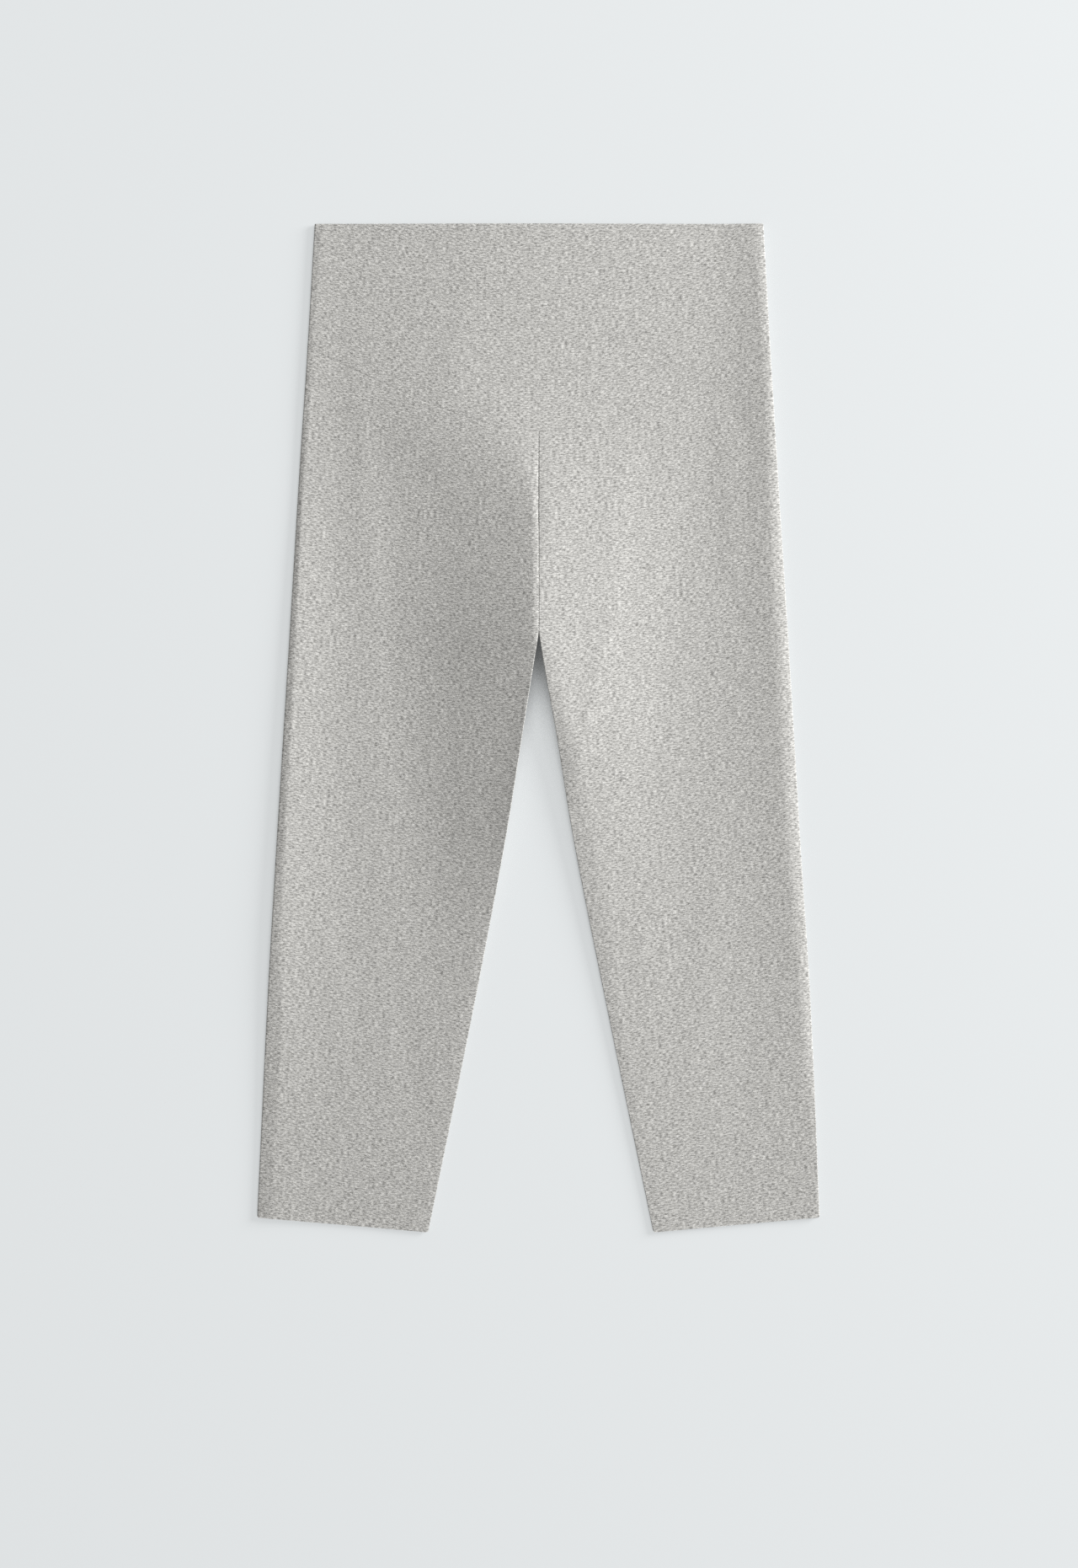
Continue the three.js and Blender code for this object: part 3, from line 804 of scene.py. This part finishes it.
def marl_jersey(name, offset):
    """The cloth's material; the offset gives each piece its own stretch of yarn."""
    material = bpy.data.materials.new(name)
    material.use_nodes = True
    g = Graph(material)
    g.nodes.clear()
    uv = g.add("ShaderNodeUVMap", uv_map="cloth").outputs[0]
    parts = g.add("ShaderNodeSeparateXYZ")
    g.links.new(uv, parts.inputs[0])
    wales = g.math("DIVIDE", parts.outputs[0], WALE)
    wales = g.math("ADD", wales, offset)
    half = g.math("ABSOLUTE", g.math("SUBTRACT", g.math("FRACT", wales), 0.5))
    level = g.math("DIVIDE", parts.outputs[1], COURSE)
    slanted = g.math("MULTIPLY_ADD", half, STITCH_LEAN, level)
    course = g.math("FLOOR", slanted)
    across_yarn = g.math("SINE", g.math("MULTIPLY", g.math("FRACT", slanted), math.pi))
    along_yarn = g.math("SINE", g.math("MULTIPLY", half, 2 * math.pi))
    relief = g.math("MULTIPLY", g.math("POWER", across_yarn, 0.6), g.math("POWER", along_yarn, 0.4))
    stitch = g.speckle(g.math("FLOOR", g.math("MULTIPLY", wales, 2.0)), course, offset)
    short = g.noise(*g.scaled(wales, course, SHORT_STREAK), offset)
    long = g.noise(*g.scaled(wales, course, LONG_STREAK), offset + 5)
    cloud = g.noise(*g.scaled(parts.outputs[0], parts.outputs[1], CLOUD), offset, CLOUD_DETAIL)
    tone = g.math("MULTIPLY", g.math("SUBTRACT", stitch, 0.5), STITCH_SHARE)
    tone = g.math("MULTIPLY_ADD", g.math("SUBTRACT", short, 0.5), SHORT_SHARE, tone)
    tone = g.math("MULTIPLY_ADD", g.math("SUBTRACT", long, 0.5), LONG_SHARE, tone)
    tone = g.math("MULTIPLY_ADD", g.math("SUBTRACT", cloud, 0.5), CLOUD_SHARE, tone)
    # Painted shade: the colour is darkened in the gaps between loops and lightened a little on their
    # tops.
    painted_gap_shade = g.math("MULTIPLY", g.math("SUBTRACT", relief, GAP_SHADE_LEVEL), GAP_SHADE_SHARE)
    tone = g.math("ADD", g.math("ADD", tone, 0.5), painted_gap_shade)
    ramp = g.add("ShaderNodeMix", data_type="RGBA", clamp_factor=True)
    g.links.new(tone, ramp.inputs["Factor"])
    ramp.inputs["A"].default_value = (*DARK_YARN, 1)
    ramp.inputs["B"].default_value = (*LIGHT_YARN, 1)
    hair = g.scaled(parts.outputs[0], parts.outputs[1], (HAIR, HAIR))
    fuzz = g.noise(*hair, offset, HAIR_DETAIL)
    height = g.math("MULTIPLY_ADD", fuzz, HAIR_HEIGHT, relief)
    bump = g.add("ShaderNodeBump")
    bump.inputs["Strength"].default_value = 0.35
    bump.inputs["Distance"].default_value = 0.00012
    g.links.new(height, bump.inputs["Height"])
    shader = g.add("ShaderNodeBsdfPrincipled")
    g.links.new(ramp.outputs["Result"], shader.inputs["Base Color"])
    g.links.new(bump.outputs[0], shader.inputs["Normal"])
    shader.inputs["Roughness"].default_value = 0.92
    shader.inputs["Specular IOR Level"].default_value = 0.2
    shader.inputs["Sheen Weight"].default_value = 0.06
    shader.inputs["Sheen Roughness"].default_value = 0.5
    out = g.add("ShaderNodeOutputMaterial")
    g.links.new(shader.outputs[0], out.inputs["Surface"])
    print(name, "has", len(g.nodes), "nodes")
    return material


dressing = [
    (legs["left"], "jersey"),
    (legs["right"], "jersey"),
    (bands["front"], "band_jersey"),
    (bands["back"], "band_jersey"),
]
for number, (piece, slot) in enumerate(dressing):
    piece.data.materials.append(marl_jersey("marl_" + piece.name, SEED_STEP * number))
    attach(piece, "root")
    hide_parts(piece.name.replace("_cloth", ""))

# %% [markdown]
# ## The cut of each sheet
# A pattern cutter knows each piece by its flat size. A leg is cut twice as wide as it lies at the
# crotch, its widest place, with a seam allowance on each side. Its area is what the finished shell
# measures, because pressed jersey isn't stretched here.

# %% [markdown]
# ## The table
# The photograph's table is almost white and a little overexposed, so faint shadows vanish and
# only deep ones stay: beside the left folds, and in the narrow gap under the crotch. A plain
# diffuse floor would show every shadow at full depth. So this floor gives off most of its own
# light, as a light table does, and an Ambient Occlusion node paints shadow into that glow in deep,
# narrow places. The node looks around a direction that leans a little to the right, towards the
# softbox, so the painted shadow in the gap under the crotch is darker along the right leg.

# %% Table
TABLE_COLOUR = (0.815, 0.843, 0.852)
TABLE_GLOW = 0.70
TABLE_DIFFUSE = 0.27
# Lean and turn of the painted shadow's look direction, towards the key; the table itself lies flat.
PAINTED_SHADOW_LEAN = math.radians(13)
PAINTED_SHADOW_TURN = math.radians(-15)
TABLE_SIZE = 8
TABLE_BELOW = 0.0002
# Reach, ramp and deepest level of the painted shadow in the table's glow.
SHADOW_REACH = 0.06
SHADOW_RANGE = (0.2, 0.58)
DEEPEST_PAINTED_SHADOW = 0.1

table_mesh = bpy.data.meshes.new("table")
corners = [(-1, -1), (1, -1), (1, 1), (-1, 1)]
corners = [(TABLE_SIZE * x, TABLE_SIZE * y, 0) for x, y in corners]
table_mesh.from_pydata(corners, [], [(0, 1, 2, 3)])
table = bpy.data.objects.new("table", table_mesh)
bpy.context.scene.collection.objects.link(table)
table.location.z = -TABLE_BELOW
table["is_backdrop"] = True

table_look_with_painted_shadow = bpy.data.materials.new("light_table_with_painted_shadow")
table_look_with_painted_shadow.use_nodes = True
g = Graph(table_look_with_painted_shadow)
g.nodes.clear()
# Painted shadow: an AO node and a ramp dim the table's glow in deep, narrow places; no light is blocked
# there.
painted_shadow_ao = g.add("ShaderNodeAmbientOcclusion", samples=8)
painted_shadow_ao.inputs["Distance"].default_value = SHADOW_REACH
painted_shadow_lean = g.add("ShaderNodeCombineXYZ")
painted_shadow_lean.inputs["X"].default_value = math.sin(PAINTED_SHADOW_LEAN) * math.cos(PAINTED_SHADOW_TURN)
painted_shadow_lean.inputs["Y"].default_value = math.sin(PAINTED_SHADOW_LEAN) * math.sin(PAINTED_SHADOW_TURN)
painted_shadow_lean.inputs["Z"].default_value = math.cos(PAINTED_SHADOW_LEAN)
g.links.new(painted_shadow_lean.outputs[0], painted_shadow_ao.inputs["Normal"])
reach = g.add("ShaderNodeMapRange", interpolation_type="SMOOTHSTEP")
g.links.new(painted_shadow_ao.outputs["AO"], reach.inputs["Value"])
reach.inputs["From Min"].default_value = SHADOW_RANGE[0]
reach.inputs["From Max"].default_value = SHADOW_RANGE[1]
reach.inputs["To Min"].default_value = DEEPEST_PAINTED_SHADOW
glow_with_painted_shadow = g.add("ShaderNodeEmission")
glow_with_painted_shadow.inputs["Color"].default_value = (*TABLE_COLOUR, 1)
g.links.new(g.math("MULTIPLY", reach.outputs[0], TABLE_GLOW), glow_with_painted_shadow.inputs["Strength"])
matt = g.add("ShaderNodeBsdfDiffuse")
matt.inputs["Color"].default_value = (*[TABLE_DIFFUSE * c for c in TABLE_COLOUR], 1)
both = g.add("ShaderNodeAddShader")
g.links.new(glow_with_painted_shadow.outputs[0], both.inputs[0])
g.links.new(matt.outputs[0], both.inputs[1])
out = g.add("ShaderNodeOutputMaterial")
g.links.new(both.outputs[0], out.inputs["Surface"])
table_mesh.materials.append(table_look_with_painted_shadow)
# The lean printed here is the painted shadow's look direction; the table lies flat.
print("table", 2 * TABLE_SIZE, "m wide, leaning", round(math.degrees(PAINTED_SHADOW_LEAN)), "degrees to the light")

# %% [markdown]
# ## Light
# One big round softbox stands low on the right, turned a little towards the waist, and it makes
# all the shading; an even dome of sky fills in. A distant sun would light both legs alike, but in
# the photograph the right leg and the waist are a little brighter, because they are nearer the
# box. So the light is a real disc a few metres away, and the falloff comes by itself. The render's
# denoiser is switched off, because it would take the marl for noise and smear it.

# %% Lights
KEY_HEIGHT = math.radians(22)
KEY_TURN = math.radians(23)
KEY_AWAY = 3.9
KEY_WIDTH = 2.2
KEY_SHARE = 0.64

key_data = bpy.data.lights.new("key", "AREA")
key_data.shape = "DISK"
key_data.size = KEY_WIDTH
key_data.energy = KEY_SHARE * math.pi / math.sin(KEY_HEIGHT) * math.pi * KEY_AWAY**2
key = bpy.data.objects.new("key", key_data)
bpy.context.scene.collection.objects.link(key)
key.location = (
    KEY_AWAY * math.cos(KEY_HEIGHT) * math.cos(KEY_TURN),
    KEY_AWAY * math.cos(KEY_HEIGHT) * math.sin(KEY_TURN),
    KEY_AWAY * math.sin(KEY_HEIGHT),
)
key.rotation_euler = (0, math.pi / 2 - KEY_HEIGHT, KEY_TURN)
print("key", round(key_data.energy), "W, at", [round(v, 2) for v in key.location])

sky = bpy.data.worlds.new("sky")
bpy.context.scene.world = sky
sky.use_nodes = True
dome = sky.node_tree.nodes["Background"]
dome.inputs["Color"].default_value = (1.0, 0.998, 0.99, 1)
dome.inputs["Strength"].default_value = 1 - KEY_SHARE
bpy.context.scene.view_settings.view_transform = "Standard"
bpy.context.scene.view_settings.look = "None"
bpy.context.scene.cycles.use_denoising = False

# %% [markdown]
# ## Camera
# The photograph looks straight down. A long lens far away keeps the legs' sides parallel, and the
# distance follows from the lens and from how much table the picture takes in. An orthographic
# camera would do as well from here, but it looks wrong from any other side.

# %% Camera
PICTURE = (1280, 1861)
PIXEL = 0.62
WAIST_ROW = 266.0
MIDDLE_COLUMN = 639.8
LENS = 85.0
SENSOR = 36.0
CLOTH_LEVEL = 0.003

camera_data = bpy.data.cameras.new("camera")
camera_data.lens = LENS
camera_data.sensor_width = SENSOR
camera = bpy.data.objects.new("camera", camera_data)
bpy.context.scene.collection.objects.link(camera)
height = PICTURE[1] * PIXEL * MM * LENS / SENSOR
camera.location = (
    (PICTURE[0] / 2 - MIDDLE_COLUMN) * PIXEL * MM,
    LENGTH / 2 * MM - (PICTURE[1] / 2 - WAIST_ROW) * PIXEL * MM,
    height + CLOTH_LEVEL,
)
camera_data.clip_end = 50
bpy.context.scene.camera = camera
print("camera", [round(v, 4) for v in camera.location])

# %% [markdown]
# ## Measuring the result
# The finished cloth is measured again, so that its box can be set against the solids' box: a shell
# that grew out of its solid would show here first.

# %% Finish
dressed_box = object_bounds()
sizes = {"solids": solid_box, "dressed": dressed_box}
sizes = {name: [[float(value) for value in corner] for corner in box] for name, box in sizes.items()}
print("box of the cloth", dressed_box)
